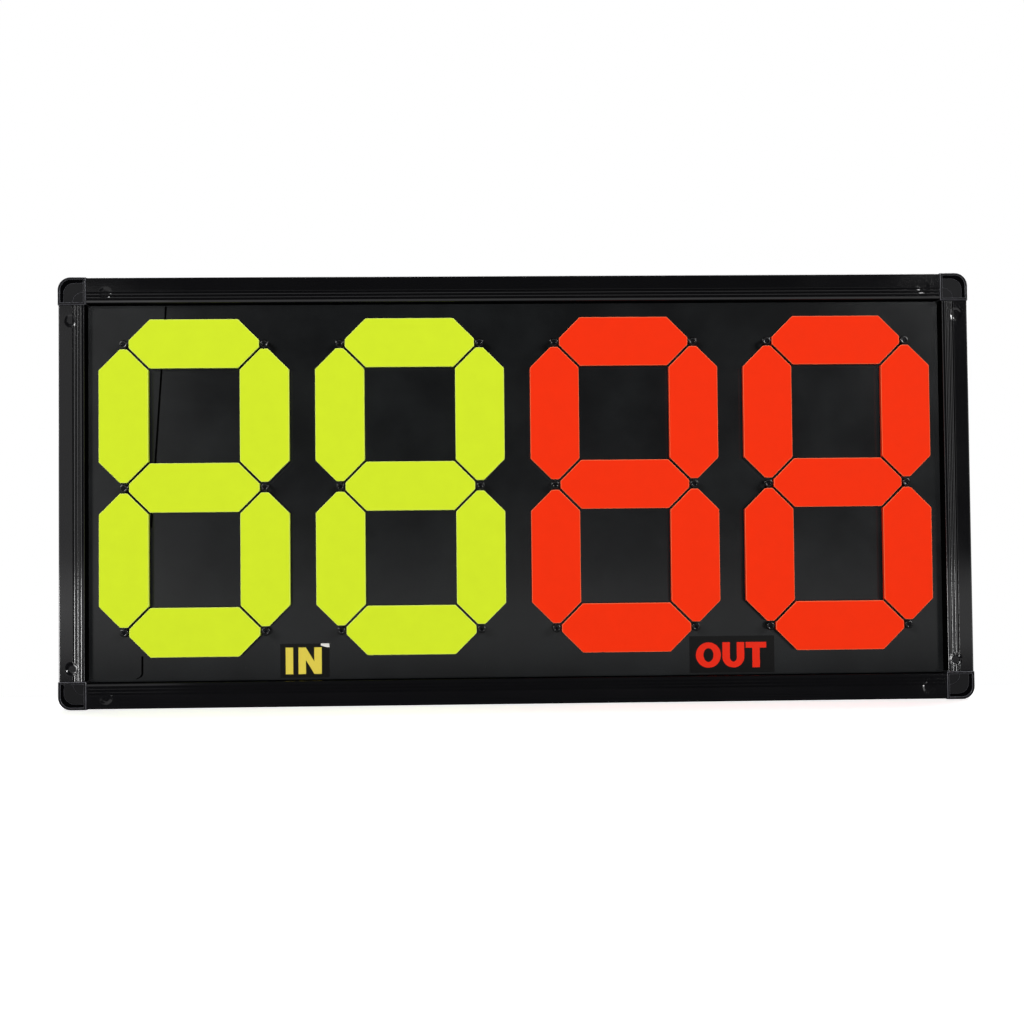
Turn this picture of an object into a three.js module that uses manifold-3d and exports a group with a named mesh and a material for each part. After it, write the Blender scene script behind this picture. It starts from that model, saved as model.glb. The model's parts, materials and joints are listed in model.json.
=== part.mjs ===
// Manual football substitution board: four seven-segment digits in an aluminium frame with plastic
// corners. Each segment is a slat, fluorescent in front and black behind, that is turned over by
// hand about its long axis between two pivot posts.
// Millimetres, +Z up, the digits facing -Y, the origin under the middle of the bottom edge.
// The board is drawn flat, x to the right, y up and z towards the reader, and stood up at the end.

import * as THREE from "three";
import { mergeVertices } from "three/addons/utils/BufferGeometryUtils.js";
import Module from "manifold-3d";

const wasm = await Module();
wasm.setup();

// Whole board
const boardWidth = 750;
const boardHeight = 353;
const fit = 0.3; // clearance of pieces that seat in each other
const overrun = 1; // how far a cutter or a joined body reaches past the face that it crosses

// Frame rails, one extruded section
const railFace = 21; // width of the rail seen from the front
const faceWall = 2.4; // wall that carries the ribs
const railWall = 1.6; // every other wall
const rearFlange = 1.4; // lip behind the rear sheet
const outerRadius = 1.7; // rounded outer edges, front and back
const lipRadius = 0.8; // rounded edge beside the digits
const ribCount = 3;
const ribWidth = 1.4; // flat land between two grooves
const grooveWidth = 1.3;
const grooveDepth = 0.9;
const lipWidth = 2.9; // from the last groove to the edge beside the digits
const dentRadius = 5.2; // round dents that stake the rails to the corners' tongues
const dentDepth = 0.9;
const dentInset = 10.6; // from the rail's outer edge to the middle of a dent
const dentSetback = 12.5; // from the rail's end to the middle of a dent

// Corner caps
const capSize = 22.8;
const capRadius = 10.5;
const capProud = 0.5; // how far a cap stands past the rails, all round
const capBevel = 0.5; // front and back edges
const capRim = 1.6;
const capRecess = 0.9; // depth of the field inside the rim
const capStepHeight = 0.35; // each quarter-round step above the one below
const capStepRadii = [14.4, 7.4];
const tongueLength = 20;
const tongueTaper = 1.5; // lead-in at the tongue's end

// Sheets
const frontRecess = 15; // from the rails' front down to the front sheet
const frontSheetThickness = 3;
const rearSheetThickness = 2;
const sheetEngage = 7; // how far a sheet reaches into the rails
const spacerRadius = 8; // spacers that carry the sheet's open squares on the rear sheet

// Digits
const digitGap = 21.3; // between two digits, side by side
const topMargin = 13; // from the top rail down to the digits
const bottomMargin = 20.1; // from the bottom rail up to the digits
const segmentWidth = 40.4;
const segmentThickness = 7.6;
const segmentBevel = 0.5;
const faceHeight = 11.2; // the segments' faces above the front sheet
const mitreGap = 1.4; // between two neighbours' mitred ends
const swingClearance = 0.35; // round the space that a turning segment sweeps
const windowEase = 0.5; // how much wider a window's mitred end opens than the sweep needs

// Pivots
const postRadius = 3.3;
const postDrop = 0.6; // how far a post's top lies below the segments' faces
const postChamfer = 0.4;
const screwRecessRadius = 1.8;
const tipGap = 1; // between a segment's tip and its post
const pinRadius = 0.9;
const pinReach = 1.3; // how far a pin enters its post

// Stickers under the digits
const stickerThickness = 0.3;
const stickerRise = 1.6; // from the bottom rail up to the stickers
const inStickerWidth = 40.4;
const inStickerHeight = 28;
const outStickerWidth = 70.8;
const outStickerHeight = 30.4;

// Facets
const arcSteps = 3;
const capArcSteps = 9;
const stepArcSteps = 8;
const dentSides = 16;
const postSides = 16;
const pinSides = 8;
const spacerSides = 16;

// Section of a groove as shares of its width and depth
const grooveShares = [
  [0.5, 0],
  [0.28, 0.75],
  [0, 1],
  [-0.28, 0.75],
  [-0.5, 0],
];
// Section of a dent as shares of its radius and depth
const dentShares = [
  [0, 1],
  [0.52, 1],
  [0.8, 0.45],
  [1, 0],
];
// Stations along a window's mitred end, as shares of its length
const windowShares = [0, 0.4, 1];
// Depth of the screw recess as a share of the wall over a post's sockets
const recessDepthShare = 0.7;

// Opening inside the rails
const openingWidth = boardWidth - 2 * (capProud + railFace);
const openingHeight = boardHeight - 2 * (capProud + railFace);

// Digits and the pivots that they turn on
const digitNames = ["in_tens", "in_units", "out_tens", "out_units"];
const digitPitch = openingWidth / digitNames.length;
const digitWidth = digitPitch - digitGap;
const digitHeight = openingHeight - topMargin - bottomMargin;
const acrossSpan = digitWidth - segmentWidth; // between pivots, side to side
const upSpan = (digitHeight - segmentWidth) / 2; // between pivots, one above the other
const middleHeight = capProud + railFace + bottomMargin + digitHeight / 2;

// Segment outline
const mitreSetback = mitreGap / Math.SQRT2;
const tipDistance = postRadius + tipGap; // from a pivot to the segment's tip
const shoulderDistance = segmentWidth / 2 + mitreSetback;
const axisHeight = faceHeight - segmentThickness / 2; // the turning axis above the front sheet
const sweptEdge = segmentThickness / 2 - segmentBevel;
const turningRadius = Math.hypot(segmentWidth / 2, sweptEdge);
const pivotStart = mitreSetback + Math.sqrt(axisHeight ** 2 - sweptEdge ** 2);

// Levels from back to front, measured from the middle of the board's depth
const sheetGap = turningRadius - axisHeight + swingClearance; // front face to front face
const railDepth = frontRecess + sheetGap + rearSheetThickness + fit + rearFlange;
const boardDepth = railDepth + 2 * capProud;
const railFront = railDepth / 2;
const railBack = -railFront;
const frontSheetFace = railFront - frontRecess;
const frontSheetBack = frontSheetFace - frontSheetThickness;
const rearSheetFace = frontSheetFace - sheetGap;
const rearSheetBack = rearSheetFace - rearSheetThickness;
const axisLevel = frontSheetFace + axisHeight;

// Rail section: u from the outer edge inwards, w from the back forwards
const slotFloor = railFace - sheetEngage - fit;
const chamberEnd = slotFloor - railWall;
const rearSlot = [rearSheetBack - fit - railBack, rearSheetFace + fit - railBack];
const frontSlot = [frontSheetBack - fit - railBack, frontSheetFace + fit - railBack];
const tongueInner = chamberEnd - fit;
const tongueOuter = railWall + fit;

// Sheets
const sheetWidth = openingWidth + 2 * sheetEngage;
const sheetHeight = openingHeight + 2 * sheetEngage;

// Colours and finishes
const finish = (color, roughness, metalness) => ({ color, roughness, metalness });
const blackAluminium = finish(0x0b0b0d, 0.25, 0.2);
const blackPlastic = finish(0x151517, 0.4, 0);
const charcoalSheet = finish(0x26282a, 0.55, 0);
const fluorescentYellow = finish(0xd6ed2d, 0.6, 0);
const fluorescentRed = finish(0xf83415, 0.6, 0);
const blackVinyl = finish(0x050505, 0.3, 0);

// Solids and meshes

// A closed three.js geometry as a solid that can be joined and cut, its faces turned outwards.
function toSolid(geometry) {
  const bare = geometry.clone();
  bare.deleteAttribute("normal");
  bare.deleteAttribute("uv");
  const merged = mergeVertices(bare, fit / 1000);
  const solidOf = (triVerts) =>
    new wasm.Manifold(
      new wasm.Mesh({ numProp: 3, vertProperties: merged.attributes.position.array, triVerts }),
    );
  const triVerts = new Uint32Array(merged.index.array);
  const solid = solidOf(triVerts);
  return solid.volume() > 0 ? solid : solidOf(triVerts.reverse());
}

function toGeometry(solid) {
  const mesh = solid.getMesh();
  const geometry = new THREE.BufferGeometry();
  geometry.setAttribute("position", new THREE.BufferAttribute(mesh.vertProperties, mesh.numProp));
  geometry.setIndex(new THREE.BufferAttribute(mesh.triVerts, 1));
  geometry.computeVertexNormals();
  return geometry;
}

// The first body with the others joined on, then with the cutters taken out.
function shaped(body, additions, cutters) {
  let solid = toSolid(body);
  for (const addition of additions) {
    solid = solid.add(toSolid(addition));
  }
  for (const cutter of cutters) {
    solid = solid.subtract(toSolid(cutter));
  }
  return toGeometry(solid);
}

function named(name, geometry, look) {
  const mesh = new THREE.Mesh(geometry, new THREE.MeshStandardMaterial({ ...look, flatShading: true }));
  mesh.name = name;
  return mesh;
}

function outline(points) {
  return new THREE.Shape(points.map(([x, y]) => new THREE.Vector2(x, y)));
}

// A flat shape given a thickness, from the level bottom to the level top.
function slab(shape, bottom, top) {
  const geometry = new THREE.ExtrudeGeometry(shape, { depth: top - bottom, bevelEnabled: false });
  return geometry.translate(0, 0, bottom);
}

// The same, with its edges bevelled inside its outline.
function bevelledSlab(shape, bottom, top, bevel) {
  const geometry = new THREE.ExtrudeGeometry(shape, {
    depth: top - bottom - 2 * bevel,
    bevelThickness: bevel,
    bevelSize: bevel,
    bevelOffset: -bevel,
    bevelSegments: 1,
  });
  return geometry.translate(0, 0, bottom + bevel);
}

function box(low, high) {
  const size = high.map((value, axis) => value - low[axis]);
  const middle = high.map((value, axis) => (value + low[axis]) / 2);
  return new THREE.BoxGeometry(...size).translate(...middle);
}

// A rod along x between two places.
function rod(radius, start, end, sides) {
  const geometry = new THREE.CylinderGeometry(radius, radius, end - start, sides);
  return geometry.rotateZ(Math.PI / 2).translate((start + end) / 2, 0, 0);
}

// Points on an arc round a centre, angles in quarter turns.
function arc(centre, radius, startQuarter, endQuarter, steps) {
  return Array.from({ length: steps + 1 }, (_, step) => {
    const angle = (startQuarter + ((endQuarter - startQuarter) * step) / steps) * (Math.PI / 2);
    return [centre[0] + radius * Math.cos(angle), centre[1] + radius * Math.sin(angle)];
  });
}

// Frame rails

function railSection() {
  const points = arc([outerRadius, outerRadius], outerRadius, 2, 3, arcSteps);
  points.push([railFace, 0]);
  for (const [back, front] of [rearSlot, frontSlot]) {
    points.push([railFace, back], [slotFloor, back], [slotFloor, front], [railFace, front]);
  }
  points.push(...arc([railFace - lipRadius, railDepth - lipRadius], lipRadius, 0, 1, arcSteps));
  for (let rib = 0; rib < ribCount; rib++) {
    const middle = railFace - lipWidth - grooveWidth / 2 - rib * (ribWidth + grooveWidth);
    for (const [across, down] of grooveShares) {
      points.push([middle + across * grooveWidth, railDepth - down * grooveDepth]);
    }
  }
  points.push(...arc([outerRadius, railDepth - outerRadius], outerRadius, 1, 2, arcSteps));
  return outline(points);
}

function chamber(low, high) {
  return new THREE.Path([
    new THREE.Vector2(low[0], low[1]),
    new THREE.Vector2(low[0], high[1]),
    new THREE.Vector2(high[0], high[1]),
    new THREE.Vector2(high[0], low[1]),
  ]);
}

// The dish that one dent leaves in the rail's face, in the section's u, w and length.
function dentCutter(along) {
  const profile = dentShares.map(
    ([out, down]) => new THREE.Vector2(out * dentRadius, -down * dentDepth),
  );
  profile.push(new THREE.Vector2(dentRadius, overrun), new THREE.Vector2(0, overrun));
  return new THREE.LatheGeometry(profile, dentSides).translate(dentInset, railDepth, along);
}

function railGeometry(length) {
  const section = railSection();
  const faceInside = railDepth - faceWall;
  const inner = railFace - railWall;
  section.holes.push(
    chamber([railWall, railWall], [chamberEnd, faceInside]),
    chamber([slotFloor, rearSlot[1] + railWall], [inner, frontSlot[0] - railWall]),
    chamber([slotFloor, frontSlot[1] + railWall], [inner, faceInside]),
  );
  const dentPlace = length / 2 - dentSetback;
  const body = slab(section, -length / 2, length / 2);
  const rail = shaped(body, [], [dentCutter(-dentPlace), dentCutter(dentPlace)]);
  const right = new THREE.Vector3(1, 0, 0);
  const up = new THREE.Vector3(0, 1, 0);
  const front = new THREE.Vector3(0, 0, 1);
  return rail.applyMatrix4(new THREE.Matrix4().makeBasis(up, front, right));
}

// The four rails, each drawn as the bottom one and turned round the middle of the board.
function frameRails() {
  const rails = new THREE.Group();
  const horizontal = boardWidth - 2 * (capSize + fit);
  const vertical = boardHeight - 2 * (capSize + fit);
  const sides = [
    ["rail_bottom", horizontal, boardHeight],
    ["rail_right", vertical, boardWidth],
    ["rail_top", horizontal, boardHeight],
    ["rail_left", vertical, boardWidth],
  ];
  sides.forEach(([name, length, across], quarter) => {
    const rail = named(name, railGeometry(length), blackAluminium);
    rail.position.set(0, capProud - across / 2, railBack);
    const side = new THREE.Group();
    side.rotation.z = (quarter * Math.PI) / 2;
    side.add(rail);
    rails.add(side);
  });
  return rails;
}

// Corner caps

// A quarter-round corner plate, its outer corner at the origin, inset on all sides.
function capOutline(inset) {
  const radius = capRadius - inset;
  const far = capSize - inset;
  const points = arc([capRadius, capRadius], radius, 2, 3, capArcSteps);
  points.push([far, inset], [far, far], [inset, far]);
  return outline(points);
}

// A quarter disc that fills the field's inner corner up to its radius.
function capStep(radius, bottom, top) {
  const corner = capSize - capRim + overrun;
  const points = arc([corner, corner], radius + overrun, 2, 3, stepArcSteps);
  points.push([corner, corner]);
  return slab(outline(points), bottom, top);
}

// The hollow of the cap's front: the field inside the rim, less its steps.
function capField() {
  const front = boardDepth / 2;
  const floor = front - capRecess;
  let field = toSolid(slab(capOutline(capRim), floor, front + overrun));
  capStepRadii.forEach((radius, step) => {
    const top = floor + (step + 1) * capStepHeight;
    field = field.subtract(toSolid(capStep(radius, floor - overrun, top)));
  });
  return toGeometry(field);
}

// The tongue that fills the rail beside the cap, tapered at its end, along x.
function tongueGeometry() {
  const back = railBack + railWall + fit;
  const front = railFront - faceWall - fit;
  const start = capSize - overrun;
  const end = capSize + tongueLength;
  const plan = outline([
    [start, capProud + tongueOuter],
    [end - tongueTaper, capProud + tongueOuter],
    [end, capProud + tongueOuter + tongueTaper],
    [end, capProud + tongueInner - tongueTaper],
    [end - tongueTaper, capProud + tongueInner],
    [start, capProud + tongueInner],
  ]);
  return slab(plan, back, front);
}

function capGeometry() {
  const body = bevelledSlab(capOutline(0), -boardDepth / 2, boardDepth / 2, capBevel);
  const acrossTongue = tongueGeometry();
  const upTongue = tongueGeometry().applyMatrix4(
    new THREE.Matrix4().makeBasis(
      new THREE.Vector3(0, 1, 0),
      new THREE.Vector3(1, 0, 0),
      new THREE.Vector3(0, 0, 1),
    ),
  );
  const near = capProud + slotFloor;
  const far = capSize + overrun;
  const slots = [rearSlot, frontSlot].map(([back, front]) =>
    box([near, near, railBack + back], [far, far, railBack + front]),
  );
  return shaped(body, [acrossTongue, upTongue], [capField(), ...slots]);
}

// The four caps, each drawn as the bottom left one and turned round its own corner.
function cornerCaps() {
  const caps = new THREE.Group();
  const corners = [
    ["corner_cap_bottom_left", -1, -1],
    ["corner_cap_bottom_right", 1, -1],
    ["corner_cap_top_right", 1, 1],
    ["corner_cap_top_left", -1, 1],
  ];
  corners.forEach(([name, across, up], quarter) => {
    const cap = named(name, capGeometry(), blackPlastic);
    cap.rotation.z = (quarter * Math.PI) / 2;
    cap.position.set((across * boardWidth) / 2, (up * boardHeight) / 2, 0);
    caps.add(cap);
  });
  return caps;
}

// Digits

// The seven segments of a digit: name, middle in steps of a pivot span, and whether it stands.
const segmentPlaces = [
  ["top", 0, 2, false],
  ["upper_left", -1, 1, true],
  ["upper_right", 1, 1, true],
  ["middle", 0, 0, false],
  ["lower_left", -1, -1, true],
  ["lower_right", 1, -1, true],
  ["bottom", 0, -2, false],
];

function segmentOutline(span) {
  const tip = span / 2 - tipDistance;
  const shoulder = span / 2 - shoulderDistance;
  const narrow = tipDistance - mitreSetback;
  const wide = segmentWidth / 2;
  return outline([
    [tip, -narrow],
    [tip, narrow],
    [shoulder, wide],
    [-shoulder, wide],
    [-tip, narrow],
    [-tip, -narrow],
    [-shoulder, -wide],
    [shoulder, -wide],
  ]);
}

// A slat along x with bevelled edges and a pin at each end, centred on its turning axis.
function segmentGeometry(span) {
  const half = segmentThickness / 2;
  const slat = bevelledSlab(segmentOutline(span), -half, half, segmentBevel);
  const tip = span / 2 - tipDistance;
  const pinEnd = tip + tipGap + pinReach;
  const rightPin = rod(pinRadius, tip - overrun, pinEnd, pinSides);
  const leftPin = rod(pinRadius, -pinEnd, overrun - tip, pinSides);
  return shaped(slat, [rightPin, leftPin], []);
}

// Where each digit's middle lies on the flat board.
function digitCentre(digit) {
  return [(digit - (digitNames.length - 1) / 2) * digitPitch, middleHeight - boardHeight / 2];
}

function digits() {
  const all = new THREE.Group();
  const across = segmentGeometry(acrossSpan);
  const standing = segmentGeometry(upSpan);
  digitNames.forEach((digitName, digit) => {
    const look = digitName.startsWith("in_") ? fluorescentYellow : fluorescentRed;
    const group = new THREE.Group();
    group.position.set(...digitCentre(digit), axisLevel);
    for (const [place, stepsAcross, stepsUp, stands] of segmentPlaces) {
      const segment = named(`${digitName}_${place}_segment`, stands ? standing : across, look);
      segment.position.set((stepsAcross * acrossSpan) / 2, (stepsUp * upSpan) / 2, 0);
      segment.rotation.z = stands ? Math.PI / 2 : 0;
      group.add(segment);
    }
    all.add(group);
  });
  return all;
}

// Front sheet with its pivot posts

// The hole that a segment along x turns through: as wide as the segment sweeps at the sheet's face.
function windowPath(span) {
  const corner = [];
  for (const share of windowShares) {
    const station = pivotStart + share * (shoulderDistance - pivotStart);
    const reach = Math.hypot(station + windowEase - mitreSetback, sweptEdge);
    const half = Math.sqrt(reach ** 2 - axisHeight ** 2) + swingClearance;
    corner.push([span / 2 - station, half]);
  }
  corner[0][0] += swingClearance;
  const upper = [...corner, ...corner.map(([x, y]) => [-x, y]).reverse()];
  return [...upper, ...upper.map(([x, y]) => [x, -y]).reverse()];
}

// A pivot post, as a turned body that stands on the sheet.
function postGeometry() {
  const height = faceHeight - postDrop;
  const wallOverSockets = height - axisHeight - pinRadius - fit;
  const recessFloor = height - recessDepthShare * wallOverSockets;
  const profile = [
    [0, -overrun],
    [postRadius, -overrun],
    [postRadius, height - postChamfer],
    [postRadius - postChamfer, height],
    [screwRecessRadius, height],
    [screwRecessRadius, recessFloor],
    [0, recessFloor],
  ].map(([x, y]) => new THREE.Vector2(x, y));
  return new THREE.LatheGeometry(profile, postSides).rotateX(Math.PI / 2);
}

// A socket that runs into a post from the side named by its quarter turn.
function socketCutter(quarter) {
  const socketRadius = pinRadius + fit;
  const bottom = postRadius - pinReach - fit;
  const cutter = rod(socketRadius, bottom, postRadius + overrun, pinSides);
  return cutter.rotateZ((quarter * Math.PI) / 2).translate(0, 0, axisHeight);
}

// One post with a socket for each segment that turns on it.
function drilledPost(stepsAcross, stepsUp) {
  const quarters = [stepsAcross < 0 ? 0 : 2];
  if (stepsUp < 2) {
    quarters.push(1);
  }
  if (stepsUp > -2) {
    quarters.push(3);
  }
  return shaped(postGeometry(), [], quarters.map(socketCutter)).translate(0, 0, frontSheetFace);
}

// The sheet, with a window behind each segment, a post at each pivot and a spacer on the back of
// each open square.
function frontSheet() {
  const additions = [];
  const windows = [];
  const openWindow = (span) =>
    slab(outline(windowPath(span)), frontSheetBack - overrun, frontSheetFace + overrun);
  const acrossWindow = openWindow(acrossSpan);
  const standingWindow = openWindow(upSpan).rotateZ(Math.PI / 2);
  const spacerEnd = frontSheetBack + overrun;
  const spacerFoot = rearSheetFace + fit;
  const spacer = new THREE.CylinderGeometry(spacerRadius, spacerRadius, spacerEnd - spacerFoot, spacerSides)
    .rotateX(Math.PI / 2)
    .translate(0, 0, (spacerEnd + spacerFoot) / 2);
  digitNames.forEach((_, digit) => {
    const [middleX, middleY] = digitCentre(digit);
    const placed = (geometry, stepsAcross, stepsUp) => {
      const x = middleX + (stepsAcross * acrossSpan) / 2;
      return geometry.clone().translate(x, middleY + (stepsUp * upSpan) / 2, 0);
    };
    for (const [, stepsAcross, stepsUp, stands] of segmentPlaces) {
      windows.push(placed(stands ? standingWindow : acrossWindow, stepsAcross, stepsUp));
    }
    for (const stepsUp of [-2, 0, 2]) {
      additions.push(placed(drilledPost(-1, stepsUp), -1, stepsUp));
      additions.push(placed(drilledPost(1, stepsUp), 1, stepsUp));
    }
    additions.push(placed(spacer, 0, -1), placed(spacer, 0, 1));
  });
  const low = [-sheetWidth / 2, -sheetHeight / 2, frontSheetBack];
  const high = [sheetWidth / 2, sheetHeight / 2, frontSheetFace];
  return named("front_sheet", shaped(box(low, high), additions, windows), charcoalSheet);
}

function rearSheet() {
  const low = [-sheetWidth / 2, -sheetHeight / 2, rearSheetBack];
  const high = [sheetWidth / 2, sheetHeight / 2, rearSheetFace];
  return named("rear_sheet", box(low, high), blackPlastic);
}

// A bare sticker on the front sheet, between two digits and just over the bottom rail.
function sticker(name, middleX, width, height) {
  const bottom = stickerRise - openingHeight / 2;
  const low = [middleX - width / 2, bottom, frontSheetFace];
  const high = [middleX + width / 2, bottom + height, frontSheetFace + stickerThickness];
  return named(name, box(low, high), blackVinyl);
}

const board = new THREE.Group();
board.rotation.x = Math.PI / 2;
board.position.z = boardHeight / 2;
board.add(
  frameRails(),
  cornerCaps(),
  rearSheet(),
  frontSheet(),
  digits(),
  sticker("label_in", -digitPitch, inStickerWidth, inStickerHeight),
  sticker("label_out", digitPitch, outStickerWidth, outStickerHeight),
);

const substitutionBoard = new THREE.Group();
substitutionBoard.add(board);

export default substitutionBoard;
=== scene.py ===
import json
import math

import bmesh
import bpy
from bpy.props import FloatProperty, FloatVectorProperty, PointerProperty
from bpy.types import Operator, Panel, PropertyGroup
from mathutils import Matrix, Quaternion, Vector


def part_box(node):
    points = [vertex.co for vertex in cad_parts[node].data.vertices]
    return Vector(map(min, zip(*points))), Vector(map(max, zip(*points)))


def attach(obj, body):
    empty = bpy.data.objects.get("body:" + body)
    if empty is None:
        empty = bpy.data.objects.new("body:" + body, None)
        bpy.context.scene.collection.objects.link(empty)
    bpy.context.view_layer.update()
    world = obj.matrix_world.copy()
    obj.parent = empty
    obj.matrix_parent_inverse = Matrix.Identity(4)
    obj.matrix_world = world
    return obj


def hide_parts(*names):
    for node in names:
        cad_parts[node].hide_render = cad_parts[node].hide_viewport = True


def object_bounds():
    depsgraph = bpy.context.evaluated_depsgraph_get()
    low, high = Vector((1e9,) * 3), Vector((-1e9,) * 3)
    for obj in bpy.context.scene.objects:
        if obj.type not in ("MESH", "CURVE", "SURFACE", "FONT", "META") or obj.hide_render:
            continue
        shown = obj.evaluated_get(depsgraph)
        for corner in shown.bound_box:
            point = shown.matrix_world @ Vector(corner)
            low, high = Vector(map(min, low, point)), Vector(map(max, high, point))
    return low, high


bl_info = {
    "name": "Substitution Board",
    "version": (1, 0, 0),
    "blender": (4, 5, 0),
    "location": "View3D > Sidebar > Board",
    "description": "Frame, corners, turning digits, stickers and studio of a number board",
    "category": "Add Mesh",
}

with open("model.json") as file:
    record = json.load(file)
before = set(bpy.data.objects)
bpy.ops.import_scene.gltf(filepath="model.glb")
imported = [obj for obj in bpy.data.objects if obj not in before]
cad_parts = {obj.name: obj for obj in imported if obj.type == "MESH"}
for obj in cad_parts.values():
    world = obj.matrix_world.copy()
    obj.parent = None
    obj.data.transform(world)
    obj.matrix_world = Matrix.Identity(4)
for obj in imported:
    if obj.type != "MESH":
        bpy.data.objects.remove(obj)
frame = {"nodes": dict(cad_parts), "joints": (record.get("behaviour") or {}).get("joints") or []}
CAD_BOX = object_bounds()
JOINTS = {joint["child"]: joint for joint in frame["joints"]}
BOARD_WIDTH = CAD_BOX[1].x - CAD_BOX[0].x
BOARD_HEIGHT = CAD_BOX[1].z - CAD_BOX[0].z
RAIL_FRONT, RAIL_BACK = (corner.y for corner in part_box("rail_bottom"))
CAP_FRONT, CAP_BACK = (corner.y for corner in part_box("corner_cap_bottom_left"))
REAR_SHEET_FRONT, REAR_SHEET_BACK = (corner.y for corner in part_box("rear_sheet"))
MM = 0.001
TOUCH = 0.001 * MM  # points nearer than this are the same point

# The staking dent near each end of a rail, in millimetres: how far from the rail's end, how far
# from its outer edge, and how deep. The rails run round from the bottom left corner.
DENTS = {
    "bottom": ((15.5, 9.4, 0.3), (15.0, 9.6, 0.3)),
    "right": ((9.8, 15.0, 0.85), (11.0, 9.8, 0.35)),
    "top": ((13.5, 12.0, 0.2), (15.5, 13.0, 0.2)),
    "left": ((12.5, 10.4, 0.2), (10.3, 10.9, 1.0)),
}
DENT_STEPS = 22  # squares along the grid that a dent is pressed into
FACETS = (0.2, 1.25, 2.3)  # which way the three pairs of sides of a dent's floor face, in radians

# Materials of a slat, by their index
FRONT, BACK_AND_MITRE_SHADE, PIN, EDGE_HIGHLIGHT = range(4)
# Materials of a post
MOULDED, SCREW = range(2)
# Materials of a rail
COATED, CHANNEL_SHADE = range(2)
# Materials of a corner cap
POLISHED, GROOVE_SHADE, RIM_HIGHLIGHT = range(3)

# How far along an axis the normals of these faces reach
FLAT = 0.99  # a face that looks straight along the axis
EDGE = (0.1, 0.97)  # a rounded edge between a wall and the front
# A slat's rounded edge is where a lighter colour is painted as a highlight.
HIGHLIGHT_EDGE = (0.2, 0.98)  # a slat's rounded edge
MITRED = (0.6, 0.8)  # a slat's mitred end

# The joint in the sheet's film, in x and z, from the top rail to the bottom one
SEAM_LINES = (
    ((-0.2898, 0.3312), (-0.2906, 0.3180)),
    ((-0.2935, 0.2785), (-0.2990, 0.2000)),
    ((-0.3015, 0.1604), (-0.3024, 0.1480)),
    ((-0.3099, 0.0422), (-0.3100, 0.0277), (-0.3112, 0.0255), (-0.3147, 0.0235)),
)
# The torn corner of a sticker, in millimetres from that corner
TORN_CORNER = ((-7.2, 0.0), (-0.2, 0.0), (0.0, -3.0), (-1.5, -3.2), (-4.6, -2.4), (-7.0, -1.6))

# The camera: its place in metres, its turns in degrees, its sensor and lens in millimetres
CAMERA_PLACE = (-0.0430, -1.3088, 0.1175)
CAMERA_YAW, CAMERA_PITCH, CAMERA_ROLL = 1.672, 1.779, -0.577
SENSOR_WIDTH, LENS = 36, 55.45

# Lamps, in metres, degrees and watts. A key: how far to the right it shines, power. A lamp: its
# place, what it aims at, its size, power. A strip: its place, its height, power.
MIDDLE = Vector((0, 0, BOARD_HEIGHT / 2))
KEY_DISTANCE, KEY_RISE, KEY_SIZE = 7, 18, (3.0, 1.4)
KEYS = (("left_key", 36, 295), ("right_key", -36, 302))
LAMPS = (
    ("left_panel", (-1.0, -2.0, 0.3), (-0.35, 0, 0.15), (0.7, 0.75), 0.9),
    ("top_lamp", (0.3, 0.9, 3.0), MIDDLE, (1.6, 1.2), 70),
    ("left_back_lamp", (-2.6, 3.6, 1.8), MIDDLE, (3.2, 2.6), 90),
    ("right_back_lamp", (2.8, 3.6, 2.0), MIDDLE, (3.2, 2.6), 100),
)
STRIP_WIDTH, STRIP_AIM = 0.6, -0.1  # how wide a strip is, and the height that it aims at
STRIPS = (
    ("left_strip", (-1.15, -0.75, 0.1), 1.2, 6),
    ("right_strip", (1.1, -0.8, 0.1), 1.2, 4),
    ("left_low_strip", (-1.15, -0.75, -0.22), 0.62, 21),
    ("right_low_strip", (1.1, -0.8, -0.34), 0.5, 13),
)

# The floor and the room, in metres and as shares of white
WHITE, DULL_FLOOR = (1.0,) * 3, (0.04,) * 3
FLOOR_REACH = 12
ROOM_LEVEL = 0.02  # the dim room
ROOM_EDGE = 0.35  # how far back a direction points where the room has turned white
PAPER_SHARE = 0.9  # how much of the floor near the board is lit paper and not glow
PAPER_LEVEL = 0.56  # how bright that paper is in the open
PAPER_REACH = (0.7, 1.3)  # where it fades round the board
PAPER_BACK_EDGE = (0.03, 0.12)  # where it fades behind the board
FRONT_FLOOR = (-1.0, -0.15)  # where the floor before the board darkens, as gloss sees it
FRONT_FLOOR_LEVEL = 0.85  # how bright it is there at the far end


# Colours, materials and nodes


def from_hex(value):
    """A colour written as 0xRRGGBB in sRGB, as linear red, green and blue."""
    channels = [(value >> shift & 0xFF) / 0xFF for shift in (16, 8, 0)]
    return [c / 12.92 if c <= 0.04045 else ((c + 0.055) / 1.055) ** 2.4 for c in channels]


def shaded(colour, share=1.0):
    """A colour made lighter or darker, as a node takes it."""
    return [channel * share for channel in colour] + [1.0]


def add_node(tree, kind, inputs=(), output=0, **settings):
    """A node with its settings; its inputs, by name or in order, are given a value or linked.

    A Map Range takes a value, its lowest and highest, and what these become.
    """
    node = tree.nodes.new("ShaderNode" + kind)
    for name, value in settings.items():
        setattr(node, name, value)
    for name, value in inputs.items() if isinstance(inputs, dict) else enumerate(inputs):
        if isinstance(value, bpy.types.NodeSocket):
            tree.links.new(value, node.inputs[name])
        else:
            node.inputs[name].default_value = value
    return node.outputs[output] if node.outputs else None


def new_material(name):
    """An empty material, its node tree and the Object coordinates that its patterns read."""
    material = bpy.data.materials.new(name)
    material.use_nodes = True
    tree = material.node_tree
    tree.nodes.clear()
    return material, tree, add_node(tree, "TexCoord", output="Object")


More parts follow.
